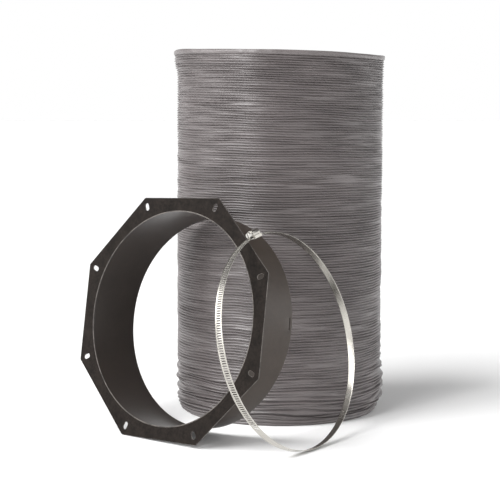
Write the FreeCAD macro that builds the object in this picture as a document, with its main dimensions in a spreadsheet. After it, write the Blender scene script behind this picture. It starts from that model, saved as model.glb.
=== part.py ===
import FreeCAD, Part
import math
import os
import Sketcher

# Flexible duct kit: a compressed wire-helix air duct, an octagonal flange collar
# that the duct slips over, and a worm-drive band clamp that holds it there.
# Row frame: millimetres, +Z up, origin at the centre of the duct's lower end.

Vector = FreeCAD.Vector
Rotation = FreeCAD.Rotation
Placement = FreeCAD.Placement

UP = Vector(0, 0, 1)
SEGMENTS = 8            # duct split into this many rigid lengths, one node set each
HEX_SIDES = 6           # flats on the screw's head
SPIRAL_SIDES = 2        # the band is two half circles, the second one further out

DIMENSIONS = {
    # duct
    "turns_per_segment": 20,
    "turn_pitch": 3.345,
    "segment_clearance": 0.3,
    "duct_radius": 154.6,
    "outer_ply": 0.6,
    "inner_ply": 0.6,
    "duct_bore_radius": 151.0,
    "coil_radius": 152.8,
    "wire_side": 1.6,
    "cuff_height": 9.0,
    "cuff_thickness": 0.8,
    # flange collar
    "flange_corner_radius": 181.0,
    "flange_thickness": 1.5,
    "flange_corner_round": 4.0,
    "slot_circle_radius": 166.5,
    "slot_length": 11.0,
    "slot_width": 6.5,
    "spigot_radius": 149.2,
    "spigot_wall": 1.2,
    "spigot_length": 82.3,
    "slit_length": 18.0,
    "slit_width": 1.6,
    "slit_setback": 4.5,
    "slit_angle": -20.0,
    "tack_leg": 3.0,
    "tack_angle": 5.0,
    "flange_corners": 8,
    # where the collar stands, and how it leans
    "collar_foot_x": -175.8,
    "collar_foot_y": -240.9,
    "collar_turn": 40.14,
    "collar_lean": 10.92,
    "collar_roll": 2.1,
    # band clamp
    "band_radius": 146.6,
    "band_thickness": 0.8,
    "band_width": 10.4,
    "layer_clearance": 0.1,
    "band_end_angle": 5.0,
    "band_tail_angle": 12.0,
    "slot_count": 93,
    "slot_step": 1.25,
    "first_slot_angle": 8.0,
    "band_slot_length": 6.8,
    "band_slot_width": 1.5,
    "band_slot_slant": 6.0,
    "housing_length": 16.0,
    "housing_wall": 1.0,
    "side_clearance": 0.2,
    "saddle_thickness": 0.8,
    "saddle_drop": 0.5,
    "worm_radius": 3.5,
    "worm_clearance": 0.3,
    "worm_pitch": 3.2,
    "thread_depth": 0.8,
    "thread_gap_outside": 1.8,
    "thread_gap_inside": 0.8,
    "head_flats": 7.0,
    "head_length": 5.0,
    "driver_slot": 1.2,
    "screw_collar_step": 0.5,
    "screw_collar_length": 1.0,
    "screw_end_chamfer": 1.0,
    "head_chamfer": 0.6,
    "driver_depth": 1.8,
    # where the clamp stands, and how it leans
    "clamp_x": 7.46,
    "clamp_y": -271.34,
    "clamp_turn": 54.0,
    "clamp_lean": 14.4,
    "clamp_roll": 11.0,
}

doc = FreeCAD.newDocument("flexible_duct_kit")
sheet = doc.addObject("Spreadsheet::Sheet", "dims")
for row, (alias, value) in enumerate(DIMENSIONS.items(), start=1):
    sheet.set(f"A{row}", alias)
    sheet.set(f"B{row}", str(value))
    sheet.setAlias(f"B{row}", alias)
doc.recompute()

pieces = []


def size(alias):
    """A driving dimension, read back from the sheet."""
    return float(sheet.get(alias))


def worth(expression):
    """What a sheet expression comes to now: where a sketch starts before it is solved."""
    return float(sheet.evalExpression(expression))


def keep(item, label):
    """Mark an object as a finished sub-part: its label names its file."""
    item.Label = label
    pieces.append(item)
    return item


def primitive(kind, name, **expressions):
    """A Part primitive whose sizes follow the sheet."""
    item = doc.addObject(kind, name)
    for prop, expression in expressions.items():
        item.setExpression(prop, expression)
    return item


def boolean(kind, name, base, tool):
    item = doc.addObject(kind, name)
    item.Base = base
    item.Tool = tool
    return item


def add_body(name):
    body = doc.addObject("PartDesign::Body", name)
    body.AllowCompound = True
    return body


def origin_plane(body, role):
    return next(f for f in body.Origin.OriginFeatures if f.Role == role)


def add_sketch(body, role, name, offset=None):
    """A sketch on one of the body's own origin planes."""
    sketch = body.newObject("Sketcher::SketchObject", name)
    sketch.AttachmentSupport = [(origin_plane(body, role), "")]
    sketch.MapMode = "FlatFace"
    if offset is not None:
        sketch.AttachmentOffset = offset
    return sketch


def bind(sketch, constraint, expression):
    """Add a dimension to a sketch and tie it to the sheet."""
    index = sketch.addConstraint(constraint)
    sketch.setExpression(f"Constraints[{index}]", expression)


def add_circle(sketch, radius, construction=False):
    """A circle about the sketch's origin."""
    start = worth(radius)
    circle = Part.Circle(Vector(0, 0, 0), UP, start)
    index = sketch.addGeometry(circle, construction)
    sketch.addConstraint(Sketcher.Constraint("Coincident", index, 3, -1, 1))
    bind(sketch, Sketcher.Constraint("Radius", index, start), radius)
    return index


def add_regular_polygon(sketch, count, radius):
    """A closed regular polygon with one corner on the sketch's X axis."""
    guide = add_circle(sketch, radius, construction=True)
    start = worth(radius)
    turn = 2 * math.pi / count
    corners = [Vector(start * math.cos(turn * i), start * math.sin(turn * i), 0) for i in range(count)]
    sides = []
    for i in range(count):
        side = Part.LineSegment(corners[i], corners[(i + 1) % count])
        sides.append(sketch.addGeometry(side, False))
    for i, side in enumerate(sides):
        sketch.addConstraint(Sketcher.Constraint("Coincident", side, 2, sides[(i + 1) % count], 1))
        sketch.addConstraint(Sketcher.Constraint("PointOnObject", side, 1, guide))
    for side in sides[1:]:
        sketch.addConstraint(Sketcher.Constraint("Equal", sides[0], side))
    sketch.addConstraint(Sketcher.Constraint("PointOnObject", sides[0], 1, -1))


def add_polyline(sketch, points):
    """A closed outline of straight runs."""
    count = len(points)
    first = sketch.GeometryCount
    for i in range(count):
        sketch.addGeometry(Part.LineSegment(points[i], points[(i + 1) % count]), False)
    for i in range(count):
        following = first + (i + 1) % count
        sketch.addConstraint(Sketcher.Constraint("Coincident", first + i, 2, following, 1))
    return first


def add_rectangle(sketch, left, right, bottom, top):
    """A rectangle whose four sides stand at sheet expressions."""
    west, east, south, north = (worth(side) for side in (left, right, bottom, top))
    corners = [Vector(west, south, 0), Vector(east, south, 0), Vector(east, north, 0), Vector(west, north, 0)]
    first = add_polyline(sketch, corners)
    for side in (first, first + 2):
        sketch.addConstraint(Sketcher.Constraint("Horizontal", side))
    for side in (first + 1, first + 3):
        sketch.addConstraint(Sketcher.Constraint("Vertical", side))
    bind(sketch, Sketcher.Constraint("DistanceX", -1, 1, first, 1, west), left)
    bind(sketch, Sketcher.Constraint("DistanceX", -1, 1, first + 1, 1, east), right)
    bind(sketch, Sketcher.Constraint("DistanceY", -1, 1, first, 1, south), bottom)
    bind(sketch, Sketcher.Constraint("DistanceY", -1, 1, first + 2, 1, north), top)


def add_pad(body, sketch, length, reverse=False):
    pad = body.newObject("PartDesign::Pad", "pad")
    pad.Profile = sketch
    pad.Reversed = reverse
    pad.setExpression("Length", length)
    body.Tip = pad
    return pad


def cut_away(body, feature):
    """Make a cutting feature the tip, and stop if it removed nothing."""
    before = body.Shape.Volume
    body.Tip = feature
    doc.recompute()
    if body.Shape.Volume > before - 1e-3:
        raise RuntimeError(f"{body.Name}: {feature.Name} cut nothing")
    return feature


def add_pocket(body, sketch, length, reverse=False):
    doc.recompute()
    pocket = body.newObject("PartDesign::Pocket", "pocket")
    pocket.Profile = sketch
    pocket.Reversed = reverse
    pocket.setExpression("Length", length)
    return cut_away(body, pocket)


# ---------------------------------------------------------------- duct

SEGMENT_HEIGHT = "dims.turn_pitch * dims.turns_per_segment"


def segment_base(index):
    return f"{SEGMENT_HEIGHT} * {index} + dims.segment_clearance / 2 * {min(index, 1)}"


def segment_length(index):
    """Half a clearance comes off each end that faces another segment."""
    ends = (index > 0) + (index < SEGMENTS - 1)
    return f"{SEGMENT_HEIGHT} - dims.segment_clearance / 2 * {ends}"


def make_tube(label, inner, outer, length, base):
    """A straight tube about the duct's axis."""
    body = add_body(label)
    sketch = add_sketch(body, "XY_Plane", "ring")
    add_circle(sketch, outer)
    add_circle(sketch, inner)
    add_pad(body, sketch, length)
    body.setExpression("Placement.Base.z", base)
    return keep(body, label)


def make_coil(index):
    """The wire's turns in one segment, as closed rings between the two plies."""
    body = add_body(f"coil_{index + 1}")
    sketch = add_sketch(body, "XZ_Plane", "wire_section")
    half = "dims.wire_side / 2"
    add_rectangle(sketch, f"dims.coil_radius - {half}", f"dims.coil_radius + {half}",
                  f"dims.turn_pitch / 2 - {half}", f"dims.turn_pitch / 2 + {half}")
    turn = body.newObject("PartDesign::Revolution", "turn")
    turn.Profile = sketch
    turn.ReferenceAxis = (sketch, ["V_Axis"])
    turn.Angle = 360
    body.Tip = turn
    doc.recompute()
    pattern = body.newObject("PartDesign::LinearPattern", "turns")
    pattern.Originals = [turn]
    pattern.Direction = (sketch, ["V_Axis"])
    pattern.setExpression("Length", "dims.turn_pitch * (dims.turns_per_segment - 1)")
    pattern.setExpression("Occurrences", "dims.turns_per_segment")
    body.Tip = pattern
    body.setExpression("Placement.Base.z", f"{SEGMENT_HEIGHT} * {index}")
    return keep(body, f"wire_coil_{index + 1}")


def make_duct():
    for index in range(SEGMENTS):
        number = index + 1
        length, base = segment_length(index), segment_base(index)
        make_tube(f"outer_ply_{number}", "dims.duct_radius - dims.outer_ply", "dims.duct_radius",
                  length, base)
        make_tube(f"inner_ply_{number}", "dims.duct_bore_radius",
                  "dims.duct_bore_radius + dims.inner_ply", length, base)
        make_coil(index)
    outer = "dims.duct_radius + dims.cuff_thickness"
    top = f"{SEGMENT_HEIGHT} * {SEGMENTS} - dims.cuff_height"
    make_tube("lower_cuff", "dims.duct_radius", outer, "dims.cuff_height", "0 * dims.cuff_height")
    make_tube("upper_cuff", "dims.duct_radius", outer, "dims.cuff_height", top)


# ---------------------------------------------------------------- flange collar
# Its own frame: X through a corner of the octagon, Z out of the flange's front face.

CORNER_STEP = 360.0 / size("flange_corners")


def collar_placement():
    """Standing on its lowest corner, turned to the left, leaning back on the duct and rolled a little."""
    lean = math.radians(size("collar_lean"))
    turn = math.radians(size("collar_turn"))
    corner_drop = math.cos(math.radians(CORNER_STEP / 2 - size("collar_roll"))) * size("flange_corner_radius")
    rise = Vector(math.sin(lean) * math.sin(turn), math.sin(lean) * math.cos(turn), math.cos(lean))
    back_edge = size("flange_thickness") * math.sin(lean)
    centre = Vector(size("collar_foot_x"), size("collar_foot_y"), back_edge) + rise * corner_drop
    upright = Rotation(UP, -size("collar_turn")) * Rotation(Vector(1, 0, 0), 90 - size("collar_lean"))
    return Placement(centre, upright * Rotation(UP, CORNER_STEP / 2 + size("collar_roll")))


def make_flange(place):
    body = add_body("flange_plate")
    outline = add_sketch(body, "XY_Plane", "octagon")
    add_regular_polygon(outline, int(size("flange_corners")), "dims.flange_corner_radius")
    add_circle(outline, "dims.spigot_radius")
    add_pad(body, outline, "dims.flange_thickness", reverse=True)
    add_bolt_slots(body)
    round_corners(body)
    body.Placement = place
    return keep(body, "flange_plate")


def round_corners(body):
    """Round the octagon's eight corners."""
    corner = size("flange_corner_radius")
    edges = []
    for number, edge in enumerate(body.Shape.Edges, start=1):
        middle = edge.CenterOfMass
        far_out = math.hypot(middle.x, middle.y) > corner - 0.5
        if far_out and abs(edge.Vertexes[0].Z - edge.Vertexes[-1].Z) > 0.5:
            edges.append(f"Edge{number}")
    base = body.Tip
    fillet = body.newObject("PartDesign::Fillet", "corners")
    fillet.Base = (base, edges)
    fillet.setExpression("Radius", "dims.flange_corner_round")
    cut_away(body, fillet)


def add_bolt_slots(body):
    """One radial obround slot behind each corner."""
    sketch = add_sketch(body, "XY_Plane", "slot")
    radius = size("slot_width") / 2
    reach = size("slot_length") / 2 - radius
    middle = size("slot_circle_radius")
    far, near = Vector(middle + reach, 0, 0), Vector(middle - reach, 0, 0)
    side = Vector(0, radius, 0)
    quarter = math.pi / 2
    outer_end = Part.ArcOfCircle(Part.Circle(far, UP, radius), -quarter, quarter)
    inner_end = Part.ArcOfCircle(Part.Circle(near, UP, radius), quarter, 3 * quarter)
    edges = [outer_end, Part.LineSegment(far + side, near + side)]
    edges += [inner_end, Part.LineSegment(near - side, far - side)]
    for edge in edges:
        sketch.addGeometry(edge, False)
    sketch.addConstraint(Sketcher.Constraint("Tangent", 0, 2, 1, 1))
    sketch.addConstraint(Sketcher.Constraint("Tangent", 1, 2, 2, 1))
    sketch.addConstraint(Sketcher.Constraint("Tangent", 2, 2, 3, 1))
    sketch.addConstraint(Sketcher.Constraint("Tangent", 3, 2, 0, 1))
    sketch.addConstraint(Sketcher.Constraint("PointOnObject", 0, 3, -1))
    sketch.addConstraint(Sketcher.Constraint("PointOnObject", 2, 3, -1))
    bind(sketch, Sketcher.Constraint("Radius", 0, radius), "dims.slot_width / 2")
    half_run = "(dims.slot_length - dims.slot_width) / 2"
    bind(sketch, Sketcher.Constraint("DistanceX", -1, 1, 0, 3, far.x),
         f"dims.slot_circle_radius + {half_run}")
    bind(sketch, Sketcher.Constraint("DistanceX", -1, 1, 2, 3, near.x),
         f"dims.slot_circle_radius - {half_run}")
    pocket = add_pocket(body, sketch, "dims.flange_thickness * 2")
    pattern = body.newObject("PartDesign::PolarPattern", "slots")
    pattern.Originals = [pocket]
    pattern.Axis = (sketch, ["N_Axis"])
    pattern.Angle = 360
    pattern.setExpression("Occurrences", "dims.flange_corners")
    cut_away(body, pattern)


def make_spigot(place):
    """The rolled tube, with the punched slit near its rear rim."""
    body = add_body("spigot")
    sketch = add_sketch(body, "XY_Plane", "ring")
    add_circle(sketch, "dims.spigot_radius")
    add_circle(sketch, "dims.spigot_radius - dims.spigot_wall")
    add_pad(body, sketch, "dims.spigot_length", reverse=True)
    swing = Placement(Vector(0, 0, 0), Rotation(Vector(0, 1, 0), size("slit_angle")))
    slit = add_sketch(body, "YZ_Plane", "slit", swing)
    rear = "dims.slit_setback - dims.spigot_length"
    add_rectangle(slit, "-dims.slit_length / 2", "dims.slit_length / 2", rear, f"{rear} + dims.slit_width")
    add_pocket(body, slit, "dims.spigot_radius * 1.1", reverse=True)
    body.Placement = place
    return keep(body, "spigot")


def make_tack_welds(place):
    """Short fillet welds between the flange's back and the spigot, one per corner."""
    body = add_body("tack_welds")
    sketch = add_sketch(body, "XZ_Plane", "fillet_section")
    inside, back = size("spigot_radius"), -size("flange_thickness")
    leg = size("tack_leg")
    first = add_polyline(sketch, [Vector(inside, back, 0), Vector(inside + leg, back, 0),
                                  Vector(inside, back - leg, 0)])
    sketch.addConstraint(Sketcher.Constraint("Horizontal", first))
    sketch.addConstraint(Sketcher.Constraint("Vertical", first + 2))
    bind(sketch, Sketcher.Constraint("DistanceX", -1, 1, first, 1, inside), "dims.spigot_radius")
    bind(sketch, Sketcher.Constraint("DistanceY", -1, 1, first, 1, back), "-dims.flange_thickness")
    bind(sketch, Sketcher.Constraint("DistanceX", first, 1, first, 2, leg), "dims.tack_leg")
    bind(sketch, Sketcher.Constraint("DistanceY", first + 2, 1, first, 1, leg), "dims.tack_leg")
    bead = body.newObject("PartDesign::Revolution", "bead")
    bead.Profile = sketch
    bead.ReferenceAxis = (sketch, ["V_Axis"])
    bead.setExpression("Angle", "dims.tack_angle")
    body.Tip = bead
    doc.recompute()
    pattern = body.newObject("PartDesign::PolarPattern", "beads")
    pattern.Originals = [bead]
    pattern.Axis = (origin_plane(body, "Z_Axis"), [""])
    pattern.Angle = 360
    pattern.setExpression("Occurrences", "dims.flange_corners")
    body.Tip = pattern
    body.Placement = place
    return keep(body, "tack_welds")


def make_collar():
    place = collar_placement()
    make_flange(place)
    make_spigot(place)
    make_tack_welds(place)


# ---------------------------------------------------------------- band clamp
# Its own frame: Z along the ring's axis, +Y towards the housing, X along the screw.

LAYER_STEP = "(dims.band_thickness + dims.layer_clearance)"
WORM_HEIGHT = (f"(dims.band_radius + dims.band_thickness + {LAYER_STEP}"
               " + dims.worm_clearance + dims.worm_radius)")
WORM_BORE = "(dims.worm_radius + dims.worm_clearance)"
PASSAGE_HALF = "dims.band_width / 2 + dims.side_clearance"
SADDLE_TOP = "dims.band_radius - dims.saddle_drop"


def clamp_placement():
    """Standing on its rim, turned to the right and leaning back, rolled so the screw is upper left."""
    lean = math.radians(size("clamp_lean"))
    outside = size("band_radius") + size("band_thickness") * 1.5 + size("layer_clearance")
    rise = outside * math.cos(lean) + size("band_width") / 2 * math.sin(lean)
    upright = Rotation(UP, size("clamp_turn")) * Rotation(Vector(1, 0, 0), 90 - size("clamp_lean"))
    place = Vector(size("clamp_x"), size("clamp_y"), rise)
    return Placement(place, upright * Rotation(UP, size("clamp_roll")))


def half_band(name, radius, start, sweep, shift):
    """One side of the strip: a sector of a tube, its centre moved towards the housing."""
    outer = primitive("Part::Cylinder", name + "_outer", Radius=f"{radius} + dims.band_thickness",
                      Height="dims.band_width", Angle=sweep)
    inner = primitive("Part::Cylinder", name + "_inner", Radius=radius, Height="dims.band_width * 2")
    for solid, low in ((outer, "dims.band_width / 2"), (inner, "dims.band_width")):
        solid.setExpression("Placement.Base.y", shift)
        solid.setExpression("Placement.Base.z", f"-({low})")
    outer.Placement.Rotation = Rotation(UP, start)
    return boolean("Part::Cut", name, outer, inner)


def band_slot_tools():
    """One slanted slot after another, down the band's left side from the housing."""
    tools = []
    for number in range(int(size("slot_count"))):
        tool = primitive("Part::Box", "band_slot",
                         Length="dims.band_slot_width", Width="8 * dims.band_thickness",
                         Height="dims.band_slot_length")
        angle = size("first_slot_angle") + number * size("slot_step")
        centring = Vector(-size("band_slot_width") / 2, 0, -size("band_slot_length") / 2)
        reach = Vector(0, size("band_radius") - 2 * size("band_thickness"), 0)
        slant = Rotation(Vector(0, 1, 0), size("band_slot_slant"))
        spin = Rotation(UP, angle)
        tool.Placement = Placement(spin.multVec(reach), spin * slant) * Placement(centring, Rotation())
        tools.append(tool)
    slots = doc.addObject("Part::Compound", "band_slots")
    slots.Links = tools
    return slots


def make_band(place):
    """A strip wound once: its fixed end under the housing, its free end a layer further out."""
    layer = f"{LAYER_STEP} / {SPIRAL_SIDES}"
    right = half_band("band_right", "dims.band_radius", -90, "180 + dims.band_end_angle",
                      "0 * dims.band_radius")
    left = half_band("band_left", f"dims.band_radius + {layer}", 90 - size("band_tail_angle"),
                     "180 + dims.band_tail_angle", layer)
    blank = boolean("Part::Fuse", "band_blank", right, left)
    band = boolean("Part::Cut", "clamp_band", blank, band_slot_tools())
    band.Placement = place
    return keep(band, "clamp_band")


def along_screw(end):
    """A sketch offset along the screw, on the plane across it."""
    return Placement(Vector(0, 0, end), Rotation())


def add_round(sketch, height, radius):
    """A circle on the sketch's X axis, which is the clamp's radial direction."""
    start_height, start_radius = worth(height), worth(radius)
    circle = Part.Circle(Vector(start_height, 0, 0), UP, start_radius)
    index = sketch.addGeometry(circle, False)
    sketch.addConstraint(Sketcher.Constraint("PointOnObject", index, 3, -1))
    bind(sketch, Sketcher.Constraint("DistanceX", -1, 1, index, 3, start_height), height)
    bind(sketch, Sketcher.Constraint("Radius", index, start_radius), radius)


def add_band_wide_block(sketch, low, high, half):
    """A rectangle centred on the band's width."""
    add_rectangle(sketch, low, high, f"-({half})", half)


def make_housing(place):
    """A pressed arch over the screw, with shoulders that hold the band and the saddle."""
    body = add_body("worm_housing")
    end = along_screw(-size("housing_length") / 2)
    foot = f"{SADDLE_TOP} - dims.saddle_thickness"
    ceiling = f"{WORM_HEIGHT} - dims.worm_radius"
    shoulder = f"{ceiling} + dims.housing_wall"
    below = f"{foot} - dims.housing_wall"
    inside = PASSAGE_HALF
    outside = f"{PASSAGE_HALF} + dims.housing_wall"
    arch = f"{WORM_BORE} + dims.housing_wall"
    shoulders = add_sketch(body, "YZ_Plane", "shoulders", end)
    add_band_wide_block(shoulders, foot, shoulder, outside)
    add_pad(body, shoulders, "dims.housing_length")
    neck = add_sketch(body, "YZ_Plane", "neck", end)
    add_band_wide_block(neck, ceiling, WORM_HEIGHT, arch)
    add_pad(body, neck, "dims.housing_length")
    crown = add_sketch(body, "YZ_Plane", "crown", end)
    add_round(crown, WORM_HEIGHT, arch)
    add_pad(body, crown, "dims.housing_length")
    bore = add_sketch(body, "YZ_Plane", "bore", end)
    add_round(bore, WORM_HEIGHT, WORM_BORE)
    add_pocket(body, bore, "dims.housing_length", reverse=True)
    passage = add_sketch(body, "YZ_Plane", "passage", end)
    add_band_wide_block(passage, below, ceiling, inside)
    add_pocket(body, passage, "dims.housing_length", reverse=True)
    body.Placement = place
    return keep(body, "worm_housing")


def make_saddle(place):
    """The flat base that closes the housing under the band."""
    body = add_body("housing_saddle")
    sketch = add_sketch(body, "YZ_Plane", "strip", along_screw(-size("housing_length") / 2))
    add_band_wide_block(sketch, f"{SADDLE_TOP} - dims.saddle_thickness", SADDLE_TOP, PASSAGE_HALF)
    add_pad(body, sketch, "dims.housing_length")
    body.Placement = place
    return keep(body, "housing_saddle")


def make_screw(place):
    """Slotted hex head, collar and a grooved worm, lying along its own X axis."""
    body = add_body("worm_screw")
    half = size("housing_length") / 2
    worm = size("worm_radius")
    collar = worm + size("screw_collar_step")
    end, ease = size("screw_end_chamfer"), size("head_chamfer")
    neck = -half - size("worm_clearance")
    head = neck - size("screw_collar_length") - size("head_length")
    sketch = add_sketch(body, "XY_Plane", "half_section")
    outline = [(head, 0), (half, 0), (half, worm - end), (half - end, worm)]
    outline += [(neck, worm), (neck, collar), (head + ease, collar), (head, collar - ease)]
    add_polyline(sketch, [Vector(x, y, 0) for x, y in outline])
    for index in range(len(outline)):
        sketch.addConstraint(Sketcher.Constraint("Block", index))
    shank = body.newObject("PartDesign::Revolution", "shank")
    shank.Profile = sketch
    shank.ReferenceAxis = (sketch, ["H_Axis"])
    shank.Angle = 360
    body.Tip = shank
    cut_thread(body, neck)
    cut_hex(body, head)
    cut_driver_slot(body, head)
    body.Placement = place * Placement(Vector(0, worm_height(), 0), Rotation())
    return keep(body, "worm_screw")


def cut_thread(body, neck):
    """Ring grooves a thread pitch apart stand for the worm's thread."""
    doc.recompute()
    worm, pitch = size("worm_radius"), size("worm_pitch")
    floor, clear = worm - size("thread_depth"), worm + size("screw_collar_step")
    wide, narrow = size("thread_gap_outside") / 2, size("thread_gap_inside") / 2
    middle = neck + pitch
    sketch = add_sketch(body, "XY_Plane", "thread_gap")
    gap = [(middle - wide, clear), (middle - narrow, floor), (middle + narrow, floor), (middle + wide, clear)]
    add_polyline(sketch, [Vector(x, y, 0) for x, y in gap])
    for index in range(len(gap)):
        sketch.addConstraint(Sketcher.Constraint("Block", index))
    groove = body.newObject("PartDesign::Groove", "groove")
    groove.Profile = sketch
    groove.ReferenceAxis = (sketch, ["H_Axis"])
    groove.Angle = 360
    cut_away(body, groove)
    pattern = body.newObject("PartDesign::LinearPattern", "thread")
    pattern.Originals = [groove]
    pattern.Direction = (sketch, ["H_Axis"])
    pattern.Occurrences = int(size("housing_length") // pitch)
    pattern.Length = pitch * (pattern.Occurrences - 1)
    cut_away(body, pattern)


def cut_hex(body, head):
    """Trim the head's round blank to a hexagon."""
    sketch = add_sketch(body, "YZ_Plane", "hexagon", along_screw(head))
    add_regular_polygon(sketch, HEX_SIDES, f"dims.head_flats / 2 / cos({180 / HEX_SIDES:g})")
    add_circle(sketch, "dims.head_flats")
    add_pocket(body, sketch, "dims.head_length", reverse=True)


def cut_driver_slot(body, head):
    sketch = add_sketch(body, "YZ_Plane", "driver_slot", along_screw(head))
    add_rectangle(sketch, "-dims.head_flats", "dims.head_flats",
                  "-dims.driver_slot / 2", "dims.driver_slot / 2")
    add_pocket(body, sketch, "dims.driver_depth", reverse=True)


def worm_height():
    """The screw's axis, out from the ring's centre."""
    layers = size("band_radius") + 2 * size("band_thickness") + size("layer_clearance")
    return layers + size("worm_clearance") + size("worm_radius")


def make_clamp():
    place = clamp_placement()
    make_band(place)
    make_housing(place)
    make_saddle(place)
    make_screw(place)


make_duct()
make_collar()
make_clamp()

# ---------------------------------------------------------------- check and write

doc.recompute()
for item in doc.Objects:
    if "Invalid" in item.State or "Error" in item.State:
        raise RuntimeError(f"{item.Name} ({item.Label}) failed: {item.State}")
for piece in pieces:
    if piece.Shape.isNull() or not piece.Shape.isValid():
        raise RuntimeError(f"{piece.Label} has no valid shape")

os.makedirs("parts", exist_ok=True)
for piece in pieces:
    piece.Shape.exportStep(f"parts/{piece.Label}.step")
    print(piece.Label, len(piece.Shape.Solids), round(piece.Shape.Volume, 1))
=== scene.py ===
import math

import bmesh
import bpy
import numpy as np
from mathutils import Matrix, Vector


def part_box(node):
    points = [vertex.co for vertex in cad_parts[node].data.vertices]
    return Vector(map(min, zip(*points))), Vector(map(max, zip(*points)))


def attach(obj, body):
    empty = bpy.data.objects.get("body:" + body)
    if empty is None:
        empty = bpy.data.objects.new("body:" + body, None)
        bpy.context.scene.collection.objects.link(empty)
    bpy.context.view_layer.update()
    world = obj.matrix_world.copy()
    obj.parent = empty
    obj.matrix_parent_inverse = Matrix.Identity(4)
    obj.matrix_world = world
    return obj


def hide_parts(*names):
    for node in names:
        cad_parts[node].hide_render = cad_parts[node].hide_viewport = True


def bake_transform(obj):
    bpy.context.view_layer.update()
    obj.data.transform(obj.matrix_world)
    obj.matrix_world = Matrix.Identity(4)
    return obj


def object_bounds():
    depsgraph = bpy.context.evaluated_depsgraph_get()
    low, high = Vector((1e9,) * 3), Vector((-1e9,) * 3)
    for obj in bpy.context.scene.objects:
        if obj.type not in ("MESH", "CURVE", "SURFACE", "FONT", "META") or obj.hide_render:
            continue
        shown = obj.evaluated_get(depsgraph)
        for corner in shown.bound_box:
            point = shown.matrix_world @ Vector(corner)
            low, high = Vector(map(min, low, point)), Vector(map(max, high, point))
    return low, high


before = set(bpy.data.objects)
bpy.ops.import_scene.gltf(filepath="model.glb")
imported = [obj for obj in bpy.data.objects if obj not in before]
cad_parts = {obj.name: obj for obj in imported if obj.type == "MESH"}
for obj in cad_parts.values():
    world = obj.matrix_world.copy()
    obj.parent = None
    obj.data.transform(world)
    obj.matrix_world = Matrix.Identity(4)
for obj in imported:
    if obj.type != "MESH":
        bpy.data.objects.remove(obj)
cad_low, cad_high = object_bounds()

# Flexible air duct kit: the compressed duct stands on its end, an octagonal flange
# collar leans on it, and a worm-drive band clamp hangs over the collar's corner.

MM = 0.001
FULL_TURN = 2 * math.pi

# ---------------------------------------------------------------- finishes


class Signal:
    """A changing value in a finish; arithmetic on it adds Math nodes."""

    def __init__(self, bench, socket):
        self.bench = bench
        self.socket = socket

    def math(self, operation, *values):
        return self.bench.node("ShaderNodeMath", {"operation": operation}, dict(enumerate(values)))

    def __add__(self, other):
        return self.math("ADD", self, other)

    def __radd__(self, other):
        return self.math("ADD", other, self)

    def __sub__(self, other):
        return self.math("SUBTRACT", self, other)

    def __rsub__(self, other):
        return self.math("SUBTRACT", other, self)

    def __mul__(self, other):
        return self.math("MULTIPLY", self, other)

    def __rmul__(self, other):
        return self.math("MULTIPLY", other, self)

    def sine(self):
        return self.math("SINE", self)

    def angle_to(self, other):
        return self.math("ARCTAN2", self, other)


class Bench:
    """A node tree and the ways to add to it."""

    def __init__(self, tree):
        self.tree = tree

    def node(self, kind, settings=None, inputs=None, output=0):
        """Add a node: its settings first, then its sockets' values or links."""
        made = self.tree.nodes.new(kind)
        for key, value in (settings or {}).items():
            if key == "stops":
                self.set_stops(made.color_ramp, value)
            else:
                setattr(made, key, value)
        for key, value in (inputs or {}).items():
            if isinstance(value, Signal):
                self.tree.links.new(value.socket, made.inputs[key])
            else:
                made.inputs[key].default_value = value
        return Signal(self, made.outputs[output])

    @staticmethod
    def set_stops(ramp, stops):
        while len(ramp.elements) < len(stops):
            ramp.elements.new(0.5)
        for element, (place, level) in zip(ramp.elements, stops):
            element.position = place
            element.color = (level, level, level, 1)

    def axes(self, place):
        """The three coordinates of a point, as values."""
        split = self.node("ShaderNodeSeparateXYZ", inputs={0: place})
        outputs = split.socket.node.outputs
        return [Signal(self, outputs[index]) for index in range(3)]

    def stops(self, value, *stops):
        """A value through a ramp of (place, level) stops."""
        return self.node("ShaderNodeValToRGB", {"stops": stops}, {0: value})


class Paint(Bench):
    """One finish: a Principled shader and the nodes that vary it."""

    def __init__(self, name, **constants):
        self.material = bpy.data.materials.new(name)
        self.material.use_nodes = True
        super().__init__(self.material.node_tree)
        self.shader = self.tree.nodes["Principled BSDF"]
        for socket, value in constants.items():
            self.shader.inputs[socket.replace("_", " ")].default_value = value

    def place(self):
        return self.node("ShaderNodeTexCoord", output="Object")

    def point(self, x, y, z):
        return self.node("ShaderNodeCombineXYZ", inputs={0: x, 1: y, 2: z})

    def noise(self, place, scale, detail=3.0, rough=0.55, warp=0.0):
        return self.node("ShaderNodeTexNoise", inputs={
            "Vector": place, "Scale": scale, "Detail": detail, "Roughness": rough, "Distortion": warp})

    def mix(self, factor, first, second):
        return self.node("ShaderNodeMix", {"data_type": "RGBA"}, {0: factor, 6: first, 7: second}, 2)

    def feed(self, socket, signal):
        self.tree.links.new(signal.socket, self.shader.inputs[socket])

    def bump(self, *layers):
        """Stack (height, strength, distance) layers into the shader's normal."""
        normal = None
        for height, strength, distance in layers:
            inputs = {"Strength": strength, "Distance": distance, "Height": height}
            if normal:
                inputs["Normal"] = normal
            normal = self.node("ShaderNodeBump", inputs=inputs)
        self.feed("Normal", normal)


def tint(red, green, blue):
    return (red, green, blue, 1)


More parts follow.
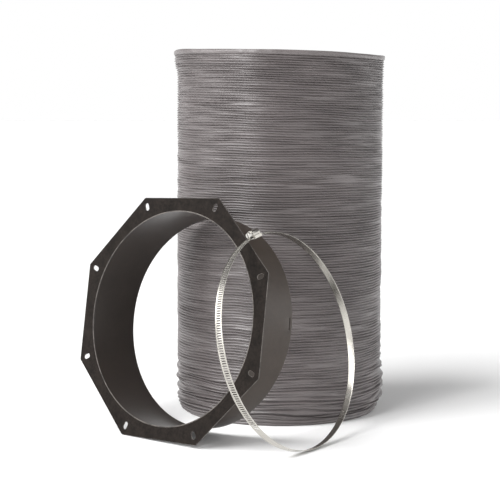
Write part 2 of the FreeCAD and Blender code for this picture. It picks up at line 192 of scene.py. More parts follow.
def coated_fabric(name, light, dark):
    """Rubber-coated woven cloth: a fine weave under the coat, scuffs along the turns."""
    paint = Paint(name, Coat_Roughness=0.24, Specular_IOR_Level=0.62)
    place = paint.place()
    x, y, z = paint.axes(place)
    around = x.angle_to(y * -1) * SKIN_RADIUS
    streaks = paint.noise(paint.point(around * 14, z * 260, 0.0), 1.0, detail=4.0)
    patches = paint.noise(place, 9.0)
    specks = paint.noise(place, 900.0, detail=2.0)
    dust = paint.stops(patches * 0.55 + streaks * 0.45, (0.36, 0.0), (0.64, 1.0))
    paint.feed("Base Color", paint.mix(dust * 0.75 + specks * 0.25, dark, light))
    paint.feed("Roughness", 0.27 + streaks * 0.14 + patches * 0.1)
    paint.feed("Coat Weight", 0.10 + patches * 0.16)
    threads = FULL_TURN / THREAD_PITCH
    weave = (around * threads).sine() * (z * threads).sine()
    creases = paint.noise(paint.point(around * 150, z * 420, 0.0), 1.0, detail=4.0, rough=0.6, warp=0.4)
    paint.bump((creases, 0.10, 0.0004), (weave, 0.10, 0.0001), (specks, 0.06, 0.0001))
    return paint.material


def black_coating(name, light, dark, rough, gloss, dimples=1.0, place_scale=1.0):
    """Baked black coat on sheet steel: mottled, faintly dimpled, with pale rub marks."""
    paint = Paint(name, Specular_IOR_Level=gloss)
    place = paint.place()
    clouds = paint.noise(place, 55.0 * place_scale, detail=5.0, rough=0.62)
    blots = paint.noise(place, 260.0 * place_scale, detail=4.0, rough=0.6, warp=0.6)
    specks = paint.noise(place, 620.0, detail=2.0)
    mottle = paint.stops(clouds * 0.45 + blots * 0.55, (0.38, 0.0), (0.62, 1.0))
    paint.feed("Base Color", paint.mix(mottle * 0.8 + specks * 0.2, dark, light))
    paint.feed("Roughness", rough + blots * 0.12)
    paint.bump((blots, 0.12 * dimples, 0.0004), (specks, 0.22 * dimples, 0.00015))
    return paint.material


def rubbed_edge_painted_highlight(name, light, dark):
    """The cut edge of the coated plate, where the coat has rubbed thin; its base colour is also lighter as a
    painted highlight along the edge.
    """
    paint = Paint(name, Metallic=0.2)
    place = paint.place()
    wear = paint.stops(paint.noise(place, 70.0, detail=5.0, rough=0.65), (0.38, 0.0), (0.56, 1.0))
    paint.feed("Base Color", paint.mix(wear, dark, light))
    paint.feed("Roughness", 0.62 - wear * 0.2)
    paint.bump((paint.noise(place, 500.0), 0.2, 0.0002))
    return paint.material


def rolled_metal(name, light, dark, rough, grain):
    """Bright metal strip: fine rolling lines, smudges and small dents."""
    paint = Paint(name, Metallic=1.0)
    place = paint.place()
    x, y, z = paint.axes(place)
    lines = paint.noise(paint.point(x * 240, y * 240, z * grain), 1.0)
    smudges = paint.noise(place, 46.0, detail=4.0, rough=0.6, warp=0.5)
    paint.feed("Base Color", paint.mix(smudges * 0.6 + lines * 0.4, dark, light))
    paint.feed("Roughness", rough + smudges * 0.16 + lines * 0.08)
    paint.bump((lines, 0.10, 0.0001), (smudges, 0.08, 0.0006))
    return paint.material


# ---------------------------------------------------------------- meshes

SAME_POINT = 1e-6              # points closer than this are one


def set_up(name, data):
    """A new object in the scene that holds a mesh, curve, lamp or camera."""
    made = bpy.data.objects.new(name, data)
    bpy.context.scene.collection.objects.link(made)
    return made


def new_piece(name, verts, faces):
    """A smooth piece from its points and faces."""
    mesh = bpy.data.meshes.new(name)
    mesh.from_pydata(verts, [], faces)
    mesh.update()
    mesh.polygons.foreach_set("use_smooth", [True] * len(mesh.polygons))
    return set_up(name, mesh)


def grid_piece(name, points, closed_rows, closed_columns=True, skip=()):
    """Quads over a grid of points[row, column]; skip holds the cells left open."""
    rows, columns = points.shape[:2]
    index = np.arange(rows * columns).reshape(rows, columns)
    high = np.roll(index, -1, axis=0) if closed_rows else index[1:]
    low = index if closed_rows else index[:-1]
    quads = np.stack([low, np.roll(low, -1, axis=1), np.roll(high, -1, axis=1), high], axis=2)
    if not closed_columns:
        quads = quads[:, :-1]
    keep = np.ones(quads.shape[:2], bool)
    for row, column in skip:
        keep[row, column] = False
    faces = quads[keep].reshape(-1, 4).tolist()
    return new_piece(name, points.reshape(-1, 3).tolist(), faces)


def add_modifier(piece, kind, **settings):
    modifier = piece.modifiers.new(kind.lower(), kind)
    for key, value in settings.items():
        setattr(modifier, key, value)


def round_edges(piece, width, from_angle):
    """Round the edges where faces meet at more than so many degrees."""
    add_modifier(piece, "BEVEL", width=width, segments=2, limit_method="ANGLE",
                 angle_limit=math.radians(from_angle))


def plain_mesh(thing):
    """The mesh of a piece or an outline as its modifiers and settings make it."""
    bpy.context.view_layer.update()
    graph = bpy.context.evaluated_depsgraph_get()
    return bpy.data.meshes.new_from_object(thing.evaluated_get(graph))


def apply_modifiers(piece):
    mesh = plain_mesh(piece)
    piece.modifiers.clear()
    piece.data = mesh


def turn_faces_out(piece, weld=0.0):
    """Turn every face outward, after welding the points closer than a distance."""
    mesh = bmesh.new()
    mesh.from_mesh(piece.data)
    if weld:
        bmesh.ops.remove_doubles(mesh, verts=mesh.verts, dist=weld)
    bmesh.ops.recalc_face_normals(mesh, faces=mesh.faces)
    mesh.to_mesh(piece.data)
    mesh.free()


def dress(piece, body, slot, *materials):
    """Finish a piece: its materials and the body it rides. The record slot is not used."""
    piece.data.materials.clear()
    for material in materials:
        piece.data.materials.append(material)
    if body:
        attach(piece, body)


def spoke(angle):
    """One step out from the middle at an angle, in a flat outline."""
    return Vector((math.cos(angle), math.sin(angle)))


# ---------------------------------------------------------------- duct

TURNS = 144
ROUND = 240                  # points round the duct
OUTER_STEPS = 8              # rows of points in one turn, outside
INNER_STEPS = 3              # and inside
HEIGHT = cad_high.z
SKIN_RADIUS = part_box("outer_ply_4")[1].x
SKIN_THICKNESS = 0.9 * MM
THREAD_PITCH = 0.0011
SECTIONS = (                 # lower end and upper end as shares of the height, body below, body above
    ("skin_lowest", 0, 26, "duct_1", "duct_2"), ("skin_bend_low", 26, 34, "duct_2", "duct_3"),
    ("skin_lower", 34, 56, "duct_3", "duct_4"), ("skin_bend_middle", 56, 64, "duct_4", "duct_5"),
    ("skin_upper", 64, 86, "duct_5", "duct_6"), ("skin_bend_high", 86, 94, "duct_6", "duct_7"),
    ("skin_highest", 94, 120, "duct_7", "duct_8"))
SHARES = 120                 # the whole height in those shares

FOLD_DEPTH = 2.5 * MM
RIDGE_ROUND = 0.95           # how full a ridge is: lower is flatter on top
FOLD_RANGE = (0.4, 2.5)      # the shallowest and the deepest fold, in fold depths
JOINED_FOLD = 0.72           # what is left of a fold where two lengths of skin meet
CLOSEST_TURNS = 0.38         # the least gap between two valleys, as a share of the even gap
SAG_REACH = 107 * MM         # the folds sag and jostle more below this height
SWAY = 0.50 * MM             # valleys rising and falling together
JOSTLE = 0.13 * MM           # and each on its own
RIDGE_CHATTER, RIDGE_SWELL = 0.17 * MM, 0.35 * MM
PUCKER = 0.10 * MM
# How far apart the turns lie, from the foot to the top: the weight above presses the foot's
# folds out of line, so they need more room.
SPACING = ((0, 0.2, 0.5, 1), (1.22, 1.08, 0.98, 0.94))

FOOT_TUCK = 9.5 * MM         # the lowest turns are drawn in
FOOT_BULGE = 1.5 * MM        # and those above them pushed out
TOP_FLARE = 3.4 * MM
TOP_SLOPE = 4.4 * MM
TOP_SHIFT = 1.5 * MM
RIGHT_LIFT = 4.5 * MM        # the foot's folds climb at the right
BUNCH_DEPTH, BUNCH_PITCH = 1.7 * MM, 15 * MM

rng = np.random.default_rng(36012)
angles = np.linspace(0, FULL_TURN, ROUND, endpoint=False)


def ripples(rows, waves, drift, level=1.0):
    """A smooth closed curve of heights for each row; each drifts on from the row below."""
    waves = np.arange(*waves)
    phase = rng.uniform(0, FULL_TURN, len(waves))
    phase = phase + np.cumsum(rng.normal(0, drift, (rows, len(waves))), axis=0)
    weight = rng.normal(0, 1, (rows, len(waves)))
    steady = max(1, int(round(1.5 / drift)))
    kernel = np.ones(steady) / math.sqrt(steady)
    weight = np.apply_along_axis(lambda w: np.convolve(w, kernel, "same"), 0, weight)
    turned = waves[None, :, None] * angles + phase[:, :, None]
    curves = (weight[:, :, None] * np.cos(turned)).sum(axis=1)
    return level * curves / curves.std()


def ease(value, low, high):
    """From 0 at low to 1 at high, smoothly."""
    share = np.clip((value - low) / (high - low), 0, 1)
    return share * share * (3 - 2 * share)


def hump(middle, spread):
    """Round the duct: 1 at one angle, falling off to both sides of it."""
    away = (angles - middle + math.pi) % FULL_TURN - math.pi
    return np.exp(-away ** 2 / spread)


def even_heights():
    """Where the valleys would lie if every turn were level."""
    spacing = np.interp(np.arange(TURNS) / TURNS, *SPACING)
    return np.concatenate([[0], np.cumsum(spacing)])[:, None] * HEIGHT / spacing.sum()


valley = np.arange(TURNS + 1)[:, None]
level_heights = even_heights()
near_floor = 1 - ease(level_heights, 0, SAG_REACH)


def turn_at(share):
    """The valley nearest to a share of the duct's height."""
    return int(np.abs(level_heights[:, 0] - share / SHARES * HEIGHT).argmin())


def settled_heights():
    """Where the valleys lie once the folds have run together and parted, all the way round."""
    settle = ease(valley, 0, 3) * ease(TURNS - valley, 0, 1.5)
    sway = ripples(TURNS + 1, (1, 7), 0.22, SWAY) * (1 + 3.4 * near_floor)
    jostle = ripples(TURNS + 1, (1, 12), 2.5, JOSTLE) * (1 + 4.5 * near_floor)
    settled = level_heights + (sway + jostle) * settle
    gaps = np.maximum(np.diff(settled, axis=0), CLOSEST_TURNS * np.diff(level_heights, axis=0))
    settled = np.vstack([settled[:1], settled[:1] + np.cumsum(gaps, axis=0)])
    return settled * (HEIGHT / settled[-1:])


def ridge_levels():
    """How far each ridge stands out, all the way round."""
    levels = ripples(TURNS, (1, 22), 1.2, RIDGE_CHATTER) + ripples(TURNS, (1, 5), 0.25, RIDGE_SWELL)
    return levels * (1 + 2.0 * near_floor[:-1])


def fold_levels():
    """How deep each valley is, in fold depths: uneven, and in deep and shallow turns near the floor."""
    uneven = ripples(TURNS + 1, (1, 14), 1.6, 0.24)
    deep_folds = near_floor * (0.8 + 0.8 * np.sin(valley * FULL_TURN / 3.4 + 1.2 * np.sin(angles * 2)))
    levels = np.clip(0.95 + uneven + deep_folds, *FOLD_RANGE)
    for section in SECTIONS[1:]:
        levels[turn_at(section[1])] *= JOINED_FOLD
    return levels


heights = settled_heights()
ridge_level = ridge_levels()
fold_level = fold_levels()
pucker = ripples(TURNS + 1, (44, 100), 2.5, PUCKER)


def bend_to_shape(radius, height):
    """The duct's overall shape: tucked and bulged at the foot, leaning a little, its top sloping."""
    right = np.cos(angles)
    tuck = FOOT_TUCK * (1 - ease(height, -6 * MM, 24 * MM))
    bulge = FOOT_BULGE * ease(height, 6 * MM, 24 * MM) * (1 - ease(height, 34 * MM, 90 * MM))
    bulge = bulge * (1 + 0.9 * right)
    flare = TOP_FLARE * ease(height, 500 * MM, 522 * MM) * np.clip(-right, 0, 1)
    bunches = BUNCH_DEPTH * np.sin(height * FULL_TURN / BUNCH_PITCH + 0.8 * np.sin(angles * 3))
    bunches = bunches * (1 - ease(height, 60 * MM, 95 * MM)) * ease(height, 0, 12 * MM)
    bunches = bunches * (0.6 + 0.4 * np.cos(angles * 2 + 0.6))
    radius = radius - tuck + bulge + bunches + flare
    rise = height / HEIGHT
    x = radius * right + TOP_SHIFT * (rise - 0.4)
    y = radius * np.sin(angles)
    z = height - TOP_SLOPE * right * ease(rise, 0.45, 1.0)
    climb = ease(height, 4 * MM, 50 * MM) * (1 - ease(height, 60 * MM, 130 * MM))
    z = z + RIGHT_LIFT * hump(-0.5, 0.9) * climb
    return np.stack([x, y, z + 0 * radius], axis=1)


def duct_surface(turn, share, inward):
    """Points of one row round the duct: share is how far up the turn it lies."""
    above = min(turn + 1, TURNS)
    height = heights[turn] + (heights[above] - heights[turn]) * share
    ridge = math.sin(math.pi * share) ** RIDGE_ROUND if share > 0 else 0.0
    fold = fold_level[turn] * (1 - share) + fold_level[above] * share
    gather = pucker[turn] * (1 - share) + pucker[above] * share
    radius = SKIN_RADIUS + ridge_level[min(turn, TURNS - 1)] * ridge
    radius = radius - FOLD_DEPTH * fold * (1 - ridge)
    radius = radius + gather * (1 - 0.6 * ridge)
    return bend_to_shape(radius - inward, height)


def skin_rows(first, last, steps, inward):
    """Rows of points from one valley to another, with so many steps to a turn."""
    rows = [duct_surface(turn, step / steps, inward) for turn in range(first, last) for step in range(steps)]
    if last < TURNS:
        return rows + [duct_surface(last, 0, inward)]
    return rows + [duct_surface(last - 1, 1 - 1e-6, inward)]


def make_skin(name, first, last):
    """One length of the skin: the ridged outside, then back down the inside."""
    outside = skin_rows(first, last, OUTER_STEPS, 0)
    inside = skin_rows(first, last, INNER_STEPS, SKIN_THICKNESS)
    points = np.array(outside + inside[::-1])
    piece = grid_piece(name, points, closed_rows=True)
    outer_ends = (0, len(outside) - 1)
    inner_ends = (len(outside), len(points) - 1)
    sharpen_rows(piece, outer_ends + inner_ends)
    level_end_normals(piece, outer_ends, inner_ends)
    return piece


def sharpen_rows(piece, rows):
    """Keep the shading of the skin's cut ends apart from its surface."""
    starts = np.zeros(len(piece.data.edges) * 2, int)
    piece.data.edges.foreach_get("vertices", starts)
    row_of = starts.reshape(-1, 2) // ROUND
    sharp = (row_of[:, 0] == row_of[:, 1]) & np.isin(row_of[:, 0], list(rows))
    piece.data.edges.foreach_set("use_edge_sharp", sharp.tolist())


def level_end_normals(piece, outer_ends, inner_ends):
    """Let the skin's lengths meet without a seam: their end rows face straight out, or straight in."""
    mesh = piece.data
    normals = np.empty(len(mesh.loops) * 3, np.float32)
    mesh.corner_normals.foreach_get("vector", normals)
    corners = np.empty(len(mesh.loops), int)
    mesh.loops.foreach_get("vertex_index", corners)
    row, column = corners // ROUND, corners % ROUND
    lowest, highest = row.reshape(-1, 4).min(axis=1), row.reshape(-1, 4).max(axis=1)
    upper_cap = (lowest == outer_ends[1]) & (highest == inner_ends[0])
    lower_cap = (lowest == outer_ends[0]) & (highest == inner_ends[1])
    wall = np.repeat(~(upper_cap | lower_cap), 4)
    way = np.isin(row, outer_ends).astype(float) - np.isin(row, inner_ends).astype(float)
    straight = np.stack([np.cos(angles[column]) * way, np.sin(angles[column]) * way, 0 * way], axis=1)
    turned = wall & (way != 0)
    normals = normals.reshape(-1, 3)
    normals[turned] = straight[turned]
    mesh.normals_split_custom_set(normals.tolist())


def make_hem(name, low, high, profile, lip):
    """The folded cloth band at one end: outside, over the edge, and down inside."""
    wave = ripples(1, (1, 9), 1.0, 0.7 * MM)[0]
    crimp = ripples(1, (9, 46), 1.0, 0.22 * MM)[0]
    pull = lip * hump(0, 0.06)
    rows = []
    for out, up, lift in profile:
        height = low + (high - low) * up + wave * lift
        radius = SKIN_RADIUS + out * MM + crimp * (0.4 + up) + pull * up
        rows.append(bend_to_shape(radius, height))
    piece = grid_piece(name, np.array(rows), closed_rows=True)
    turn_faces_out(piece)
    return piece


# Each hem's section: how far out in millimetres, how far up its height, how much of the wave it takes.
TOP_HEM = ((-1.6, 0.24, 0.4), (0.0, 0.26, 0.5), (0.7, 0.40, 0.7), (0.9, 0.66, 0.9), (0.7, 0.90, 1.0),
           (0.1, 1.0, 1.0), (-0.9, 1.02, 1.0), (-1.9, 0.93, 1.0), (-2.8, 0.68, 0.8), (-3.6, 0.42, 0.5),
           (-2.8, 0.36, 0.4))
FOOT_HEM = ((-3.4, 1.0, 0.6), (-2.8, 0.5, 0.4), (-2.0, 0.05, 0.0), (-0.6, 0.0, 0.0), (0.3, 0.08, 0.0),
            (0.8, 0.22, 0.3), (0.4, 0.38, 0.5), (-1.0, 0.46, 0.6), (-1.1, 0.52, 0.6), (0.3, 0.58, 0.6),
            (0.9, 0.74, 0.8), (0.2, 0.95, 1.0), (-1.2, 1.02, 0.8))
TOP_LIP = 1.3 * MM           # the top hem is pulled out at the right
LONG_BELOW = ("duct_1", "duct_3", "duct_5", "duct_7")   # bodies below a long length of skin

fabric = coated_fabric("coated_fabric", tint(0.122, 0.1060, 0.1055), tint(0.074, 0.0640, 0.0635))
hem_fabric = coated_fabric("hem_fabric", tint(0.138, 0.1205, 0.1195), tint(0.088, 0.0765, 0.0758))
margin = 3 * MM              # a distance from the ends of its length; the sums made with it are not used
for name, first, last, lower, upper in SECTIONS:
    first, last = turn_at(first), turn_at(last)
    skin = make_skin(name, first, last)
    dress(skin, None, "duct_skin", fabric)
    low, high = heights[first].max(), heights[last].min()
    low + margin
    high - margin
    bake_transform(skin)
    if lower in LONG_BELOW:
        for body in (lower, upper):
            number = body[-1]
            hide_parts(f"outer_ply_{number}", f"inner_ply_{number}", f"wire_coil_{number}")

for name, node, body, profile, lip, cloth in (
        ("hem_top", "upper_cuff", "duct_8", TOP_HEM, TOP_LIP, hem_fabric),
        ("hem_foot", "lower_cuff", "duct_1", FOOT_HEM, 0.0, fabric)):
    low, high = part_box(node)
    hem = make_hem(name, low.z, high.z, profile, lip)
    dress(hem, body, "duct_cuff", cloth)
    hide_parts(node)

# ---------------------------------------------------------------- flange collar

COLLAR_TURN, COLLAR_LEAN, COLLAR_ROLL = (math.radians(a) for a in (40.14, 10.92, 2.1))
COLLAR_STAND = (-175.8 * MM, -240.9 * MM)      # where the plate's lowest corner stands
CORNERS = 8
HALF_CORNER = math.pi / CORNERS
CORNER_RADIUS = 181.0 * MM
CORNER_ROUND = 4.0 * MM
PLATE = 1.5 * MM
PLATE_EDGE = 0.25 * MM
SPIGOT_RADIUS = 149.2 * MM
SPIGOT_LENGTH = 82.3 * MM
SPIGOT_WALL = 1.2 * MM
SPIGOT_EDGE = 0.2 * MM
SPIGOT_STEPS = 256
SLOT_CIRCLE = 166.5 * MM
SLOT_LENGTH, SLOT_WIDTH = 11.0 * MM, 6.5 * MM
SLIT_ANGLE = math.radians(-20.0)
SLIT_HALF = 9.0 * MM / SPIGOT_RADIUS           # half the slit's length, as an angle
SLIT_REAR = -SPIGOT_LENGTH + 4.5 * MM
SLIT_WIDTH = 1.6 * MM
LIP_SLOPE, LIP_DEPTH = 0.25 * MM, 2.4 * MM     # the slit's front lip is pressed inward


def collar_placement():
    """The collar stands on a corner, turned to the left, leaning back and rolled a little."""
    drop = math.cos(HALF_CORNER - COLLAR_ROLL) * CORNER_RADIUS
    rise = Vector((math.sin(COLLAR_LEAN) * math.sin(COLLAR_TURN),
                   math.sin(COLLAR_LEAN) * math.cos(COLLAR_TURN), math.cos(COLLAR_LEAN)))
    centre = Vector((*COLLAR_STAND, PLATE * math.sin(COLLAR_LEAN))) + rise * drop
    return (Matrix.Translation(centre) @ Matrix.Rotation(-COLLAR_TURN, 4, "Z")
            @ Matrix.Rotation(math.pi / 2 - COLLAR_LEAN, 4, "X")
            @ Matrix.Rotation(HALF_CORNER + COLLAR_ROLL, 4, "Z"))


COLLAR = collar_placement()


def rounded_corners(radius, count, fillet, steps=6):
    """A regular polygon's outline with its corners rounded."""
    points = []
    half = math.pi / count
    setback = fillet / math.cos(half)
    for corner in range(count):
        middle = corner * 2 * half
        hub = spoke(middle) * (radius - setback)
        for step in range(steps + 1):
            turn = middle + half * (2 * step / steps - 1)
            points.append(hub + spoke(turn) * fillet)
    return points


def slot_outline(angle, length, width, steps=8):
    """A radial slot with round ends."""
    reach = (length - width) / 2
    points = []
    for end, start in ((1, -math.pi / 2), (-1, math.pi / 2)):
        hub = spoke(angle) * (SLOT_CIRCLE + reach * end)
        for step in range(steps + 1):
            turn = angle + start + math.pi * step / steps
            points.append(hub + spoke(turn) * (width / 2))
    return points


def circle_outline(radius, steps):
    return [spoke(angle) * radius for angle in np.linspace(0, FULL_TURN, steps, endpoint=False)]


def cut_plate(name, outlines, thickness, edge):
    """Flat sheet inside the first outline, less the others, its edges eased."""
    curve = bpy.data.curves.new(name, "CURVE")
    curve.dimensions = "2D"
    curve.fill_mode = "BOTH"
    curve.extrude = thickness / 2 - edge
    curve.bevel_depth = edge
    curve.bevel_resolution = 1
    curve.offset = -edge
    for outline in outlines:
        spline = curve.splines.new("POLY")
        spline.points.add(len(outline) - 1)
        for point, corner in zip(spline.points, outline):
            point.co = (*corner, 0, 1)
        spline.use_cyclic_u = True
    holder = set_up(name + "_outline", curve)
    mesh = plain_mesh(holder)
    bpy.data.objects.remove(holder)
    return set_up(name, mesh)


def make_flange():
    """The octagonal plate: coated faces, and rubbed edges round it, its hole and its slots, their lighter
    colour partly a painted highlight.
    """
    setback = CORNER_ROUND * (1 / math.cos(HALF_CORNER) - 1)
    outlines = [rounded_corners(CORNER_RADIUS - setback, CORNERS, CORNER_ROUND)]
    outlines.append(circle_outline(SPIGOT_RADIUS, SPIGOT_STEPS))
    outlines += [slot_outline(corner * 2 * HALF_CORNER, SLOT_LENGTH, SLOT_WIDTH) for corner in range(CORNERS)]
    plate = cut_plate("flange", outlines, PLATE, PLATE_EDGE)
    plate.data.transform(Matrix.Translation((0, 0, -PLATE / 2)))
    turn_faces_out(plate, weld=SAME_POINT)
    on_edge = [0 if abs(face.normal.z) > 0.99 else 1 for face in plate.data.polygons]
    plate.data.polygons.foreach_set("use_smooth", [False] * len(on_edge))
    plate.data.transform(COLLAR)
    # The edge faces take the lighter edge colour: rubbed coat and painted highlight.
    dress(plate, "collar", "flange_coating", plate_black, edge_wear_and_highlight)
    plate.data.polygons.foreach_set("material_index", on_edge)
    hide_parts("flange_plate")


def make_spigot():
    """The rolled tube behind the plate, open at a slit whose front lip is pressed inward."""
    slit_ends = [SLIT_ANGLE - SLIT_HALF, SLIT_ANGLE + SLIT_HALF]
    columns = np.linspace(-math.pi, math.pi, SPIGOT_STEPS, endpoint=False)
    columns = np.sort(np.concatenate([columns, slit_ends]))
    start, stop = slit_ends
    slit_columns = [i for i, a in enumerate(columns) if start - SAME_POINT <= a < stop - SAME_POINT]
    levels = [0.45 * MM, -2 * MM, -12 * MM, -28 * MM, -45 * MM, -62 * MM, SLIT_REAR + SLIT_WIDTH,
              SLIT_REAR + SLIT_WIDTH - LIP_SLOPE, SLIT_REAR, SLIT_REAR, -SPIGOT_LENGTH + 1.5 * MM,
              -SPIGOT_LENGTH]
    lip_bend, lip_edge = 7, 8                  # rows of the pressed lip; the slit opens after its edge
    pressed = np.zeros((len(levels), len(columns)))
    pressed[lip_bend, slit_columns[1:]] = 0.8 * LIP_DEPTH
    pressed[lip_edge, slit_columns[1:]] = LIP_DEPTH
    wobble = sum(rng.normal(0, 0.12 * MM) * np.cos(k * columns + rng.uniform(0, FULL_TURN))
                 for k in range(3, 9))
    rows = []
    for z, press in zip(levels, pressed):
        radius = SPIGOT_RADIUS - 0.02 * MM + wobble * (-z / SPIGOT_LENGTH) - press
        rows.append(np.stack([radius * np.cos(columns), radius * np.sin(columns),
                              np.full(len(columns), z)], axis=1))
    spigot = grid_piece("spigot_tube", np.array(rows), closed_rows=False,
                        skip=[(lip_edge, column) for column in slit_columns])
    turn_faces_out(spigot, weld=SAME_POINT)
    spigot.data.transform(COLLAR)
    # The tube's inside takes the bore colour, darkened as painted shade.
    dress(spigot, None, "spigot_coating", spigot_black, bore_shaded_black, edge_wear_and_highlight)
    outer = spigot.data.polygons[0]
    facing = 1 if outer.normal.dot(outer.center - COLLAR.translation) > 0 else -1
    # The wall's rims take the edge colour, lighter partly as a painted highlight.
    add_modifier(spigot, "SOLIDIFY", thickness=SPIGOT_WALL, offset=-facing, material_offset=1,
                 material_offset_rim=2)
    round_edges(spigot, SPIGOT_EDGE, 40)
    apply_modifiers(spigot)
    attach(spigot, "collar")
    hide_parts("spigot")


BEAD_SPAN = math.radians(5.0)
BEAD_ROWS, BEAD_ACROSS = 26, 9
BEAD_ROOT = 0.3 * MM           # how deep a bead sits in the plate and the tube


def weld_bead(angle):
    """One short run of weld in the corner between plate and tube: overlapping ripples."""
    inner, root = SPIGOT_RADIUS - BEAD_ROOT, -PLATE + BEAD_ROOT
    points = []
    for i in range(BEAD_ROWS):
        share = i / (BEAD_ROWS - 1)
        taper = math.sin(math.pi * share) ** 0.35 if 0 < share < 1 else 0.05
        leg = (2.3 + 0.35 * math.sin(share * 42) + rng.normal(0, 0.08)) * MM * taper
        turn = angle + BEAD_SPAN * share
        row = []
        for j in range(BEAD_ACROSS):
            lean = math.pi / 2 * j / (BEAD_ACROSS - 1)
            bulge = leg * (1 + 0.12 * math.sin(2 * lean))
            out = inner + bulge * math.cos(lean)
            row.append((math.cos(turn) * out, math.sin(turn) * out, root - bulge * math.sin(lean)))
        row.append((math.cos(turn) * inner, math.sin(turn) * inner, root))
        points.append(row)
    return np.array(points)


def capped_runs(name, grids):
    """Several capped runs of closed sections as one mesh."""
    verts, faces = [], []
    for points in grids:
        base = len(verts)
        rows, columns = points.shape[:2]
        verts += points.reshape(-1, 3).tolist()
        for i in range(rows - 1):
            low, high = base + i * columns, base + (i + 1) * columns
            for j in range(columns):
                k = (j + 1) % columns
                faces.append([low + j, low + k, high + k, high + j])
        faces.append([base + j for j in range(columns)])
        faces.append([base + (rows - 1) * columns + j for j in reversed(range(columns))])
    piece = new_piece(name, verts, faces)
    turn_faces_out(piece)
    return piece


plate_black = black_coating("plate_coat", tint(0.0175, 0.0135, 0.0113), tint(0.0045, 0.0035, 0.0029),
                            rough=0.50, gloss=0.06)
spigot_black = black_coating("spigot_coat", tint(0.058, 0.0455, 0.0375), tint(0.044, 0.0345, 0.0285),
                             rough=0.40, gloss=0.24, dimples=0.5, place_scale=0.6)
# The bore is the spigot's coat with a darker base colour, painted shade inside the tube, and a glossier
# finish.
bore_shaded_black = black_coating("bore_coat_painted_shade", tint(0.031, 0.0235, 0.0190), tint(0.022, 0.0168, 0.0136),
                           rough=0.30, gloss=0.75, dimples=0.15, place_scale=0.6)
# Edge colour, lighter than the plate's coat: partly rubbed coat, partly a painted highlight on the plate's
# edges and the tube's rims.
edge_wear_and_highlight = rubbed_edge_painted_highlight("rubbed_edge_painted_highlight", tint(0.100, 0.088, 0.078), tint(0.030, 0.026, 0.023))
make_flange()
make_spigot()
beads = capped_runs("weld_beads", [weld_bead(corner * 2 * HALF_CORNER) for corner in range(CORNERS)])
beads.data.transform(COLLAR)
dress(beads, "collar", "flange_coating", spigot_black)
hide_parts("tack_welds")

# ---------------------------------------------------------------- band clamp

CLAMP_TURN, CLAMP_LEAN, CLAMP_ROLL = (math.radians(a) for a in (54.0, 14.4, 11.0))
CLAMP_PLACE = (7.46 * MM, -271.34 * MM)
BAND_RADIUS = 146.6 * MM
BAND = 0.8 * MM
BAND_WIDTH = 10.4 * MM
BAND_EDGE = BAND_WIDTH / 2
BAND_SLOT = (1.5 * MM, 6.8 * MM)
HALF_SLOT = BAND_SLOT[1] / 2
LAYER = 0.45 * MM              # how far the overlapping end lies outside the hidden one
SLOTS, SLOT_STEP, FIRST_SLOT = 93, math.radians(1.25), math.radians(98.0)
SLOT_SLANT = math.tan(math.radians(6.0))
# Across the band: how far from its middle, and how far its rolled edge curls out.
ACROSS = ((-BAND_EDGE, 0.22 * MM), (-BAND_EDGE + 0.7 * MM, 0.04 * MM), (-HALF_SLOT, 0.0), (HALF_SLOT, 0.0),
          (BAND_EDGE - 0.7 * MM, 0.04 * MM), (BAND_EDGE, 0.22 * MM))
SLOT_CELL = 2                  # which cell across the band a slot opens


def clamp_placement():
    """The clamp stands on its rim, turned, leaning and rolled."""
    rise = (BAND_RADIUS + 1.5 * BAND + 0.1 * MM) * math.cos(CLAMP_LEAN) + BAND_EDGE * math.sin(CLAMP_LEAN)
    return (Matrix.Translation((*CLAMP_PLACE, rise)) @ Matrix.Rotation(CLAMP_TURN, 4, "Z")
            @ Matrix.Rotation(math.pi / 2 - CLAMP_LEAN, 4, "X") @ Matrix.Rotation(CLAMP_ROLL, 4, "Z"))


CLAMP = clamp_placement()


def band_stations():
    """Angles along the strip and whether a slot starts there: its plain half, then its slotted half."""
    plain = [(a, False) for a in np.radians(np.arange(95.0, -90.0, -1.25))]
    last_slot = FIRST_SLOT + SLOTS * SLOT_STEP
    lower = [(a, False) for a in np.arange(math.radians(270.0), last_slot, -SLOT_STEP)]
    half_share = BAND_SLOT[0] / BAND_RADIUS / 2
    slotted = []
    for number in reversed(range(SLOTS)):
        middle = FIRST_SLOT + number * SLOT_STEP
        slotted += [(middle + half_share, True), (middle - half_share, False)]
    tail = [(a, False) for a in np.radians([96.0, 93.0, 90.0, 87.0, 84.0, 81.0, 78.0])]
    return plain, lower + slotted + tail


def band_point(angle, across, slotted, outward):
    """A point of the strip: its slotted half is centred one layer further out."""
    layer = LAYER if slotted else 0
    turned = angle + across * SLOT_SLANT / BAND_RADIUS if slotted else angle
    radius = BAND_RADIUS + outward + layer
    return (radius * math.cos(turned), radius * math.sin(turned) + layer, across)


def make_strip():
    """The clamp's band: one slotted strip, closed to a ring with its ends overlapping."""
    grid, open_cells = [], []
    for slotted, stations in zip((False, True), band_stations()):
        for angle, opens in stations:
            if opens:
                open_cells.append((len(grid), SLOT_CELL))
            grid.append([band_point(angle, across, slotted, BAND / 2 + curl) for across, curl in ACROSS])
    strip = grid_piece("clamp_strip", np.array(grid), closed_rows=False, closed_columns=False,
                       skip=open_cells)
    add_modifier(strip, "SOLIDIFY", thickness=BAND - 0.06 * MM, offset=0)
    round_edges(strip, 0.12 * MM, 50)
    apply_modifiers(strip)
    strip.data.transform(CLAMP)
    dress(strip, "clamp", "stainless_strip", steel)
    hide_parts("clamp_band")


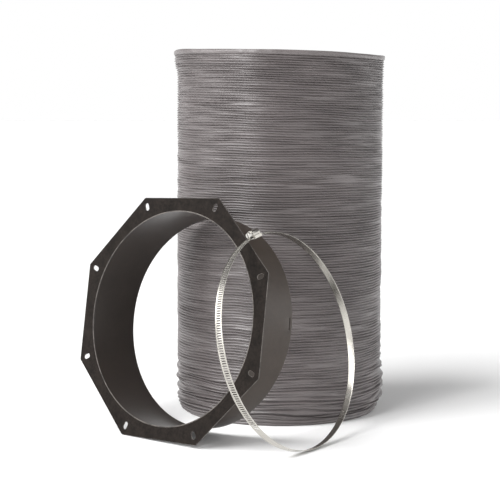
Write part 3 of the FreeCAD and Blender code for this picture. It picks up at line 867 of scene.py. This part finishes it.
def eased_copy(name, node, width):
    """The node's own solid with its edges rounded."""
    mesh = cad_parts[node].data.copy()
    mesh.name = name
    mesh.materials.clear()
    piece = set_up(name, mesh)
    shape = bmesh.new()
    shape.from_mesh(mesh)
    bmesh.ops.remove_doubles(shape, verts=shape.verts, dist=SAME_POINT)
    bmesh.ops.dissolve_limit(shape, angle_limit=math.radians(1), verts=shape.verts, edges=shape.edges)
    shape.to_mesh(mesh)
    shape.free()
    round_edges(piece, width, 35)
    apply_modifiers(piece)
    return piece


steel = rolled_metal("stainless", tint(0.57, 0.55, 0.505), tint(0.36, 0.345, 0.315), rough=0.13, grain=900)
screw_metal = rolled_metal("plated_steel", tint(0.60, 0.585, 0.555), tint(0.38, 0.37, 0.35),
                           rough=0.20, grain=300)
make_strip()
for name, node, body, width, finish, slot in (
        ("housing_shell", "worm_housing", "clamp", 0.25 * MM, steel, "stainless_strip"),
        ("saddle_plate", "housing_saddle", "clamp", 0.15 * MM, steel, "stainless_strip"),
        ("hex_worm_screw", "worm_screw", "screw", 0.12 * MM, screw_metal, "screw_steel")):
    part = eased_copy(name, node, width)
    dress(part, body, slot, finish)
    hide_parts(node)

# ---------------------------------------------------------------- studio


def pale_floor():
    """A wide pale floor under everything."""
    reach = 60.0
    corners = np.array([[(x, y, 0.0) for x in (-reach, reach)] for y in (-reach, reach)])
    floor = grid_piece("studio_floor", corners, closed_rows=False, closed_columns=False)
    paint = Paint("floor_paper", Roughness=0.9, Specular_IOR_Level=0.1)
    cloud = paint.noise(paint.place(), 1.5)
    paint.feed("Base Color", paint.mix(cloud, tint(0.88, 0.88, 0.88), tint(0.92, 0.92, 0.92)))
    floor.data.materials.append(paint.material)


def aim(lamp, direction):
    lamp.rotation_euler = direction.to_track_quat("-Z", "Y").to_euler()


def area_light(name, place, target, width, height, power):
    """A soft panel of light that faces a point; sizes in metres, power in watts."""
    data = bpy.data.lights.new(name, "AREA")
    data.shape = "RECTANGLE"
    data.size, data.size_y = width, height
    data.energy = power
    lamp = set_up(name, data)
    lamp.location = place
    aim(lamp, Vector(target) - Vector(place))


def sun(name, turn, lift, strength, spread):
    """A broad distant light: turn is from straight ahead to the right, lift above the horizon, in degrees."""
    data = bpy.data.lights.new(name, "SUN")
    data.energy = strength
    data.angle = math.radians(spread)
    turn, lift = math.radians(turn), math.radians(lift)
    came_from = Vector((math.sin(turn) * math.cos(lift), -math.cos(turn) * math.cos(lift), math.sin(lift)))
    aim(set_up(name, data), -came_from)


def studio_air():
    """White round the horizon, dim overhead."""
    world = bpy.data.worlds.new("studio_air")
    bpy.context.scene.world = world
    world.use_nodes = True
    air = Bench(world.node_tree)
    up = air.axes(air.node("ShaderNodeTexCoord", output="Generated"))[2]
    brightness = air.stops(up, (0.20, 1.0), (0.36, 0.20))
    background = world.node_tree.nodes["Background"]
    background.inputs["Strength"].default_value = 1.0
    air.tree.links.new(brightness.socket, background.inputs["Color"])


pale_floor()
studio_air()
sun("key", turn=-58, lift=46, strength=3.3, spread=46)
sun("fill", turn=66, lift=40, strength=0.80, spread=70)
DUCT_MIDDLE = (0, 0, 0.3)
area_light("strip_left", (-1.85, -2.35, 1.1), DUCT_MIDDLE, width=0.5, height=2.4, power=52)
area_light("side_left", (-2.3, -0.2, 1.0), DUCT_MIDDLE, width=1.4, height=1.8, power=22)
area_light("card_right", (2.6, 0.30, 0.30), (0, -0.1, 0.3), width=2.4, height=1.0, power=14)

bpy.context.scene.view_settings.view_transform = "Standard"

CAMERA_PLACE = (-44.5 * MM, -2169.9 * MM, 454.7 * MM)
CAMERA_TILT = 5.66             # degrees below level
lens = bpy.data.cameras.new("camera")
lens.sensor_width = 36.0
lens.lens = 103.27968
lens.clip_end = 50.0
camera = set_up("camera", lens)
camera.location = CAMERA_PLACE
camera.rotation_euler = (math.radians(90 - CAMERA_TILT), 0, 0)
bpy.context.scene.camera = camera
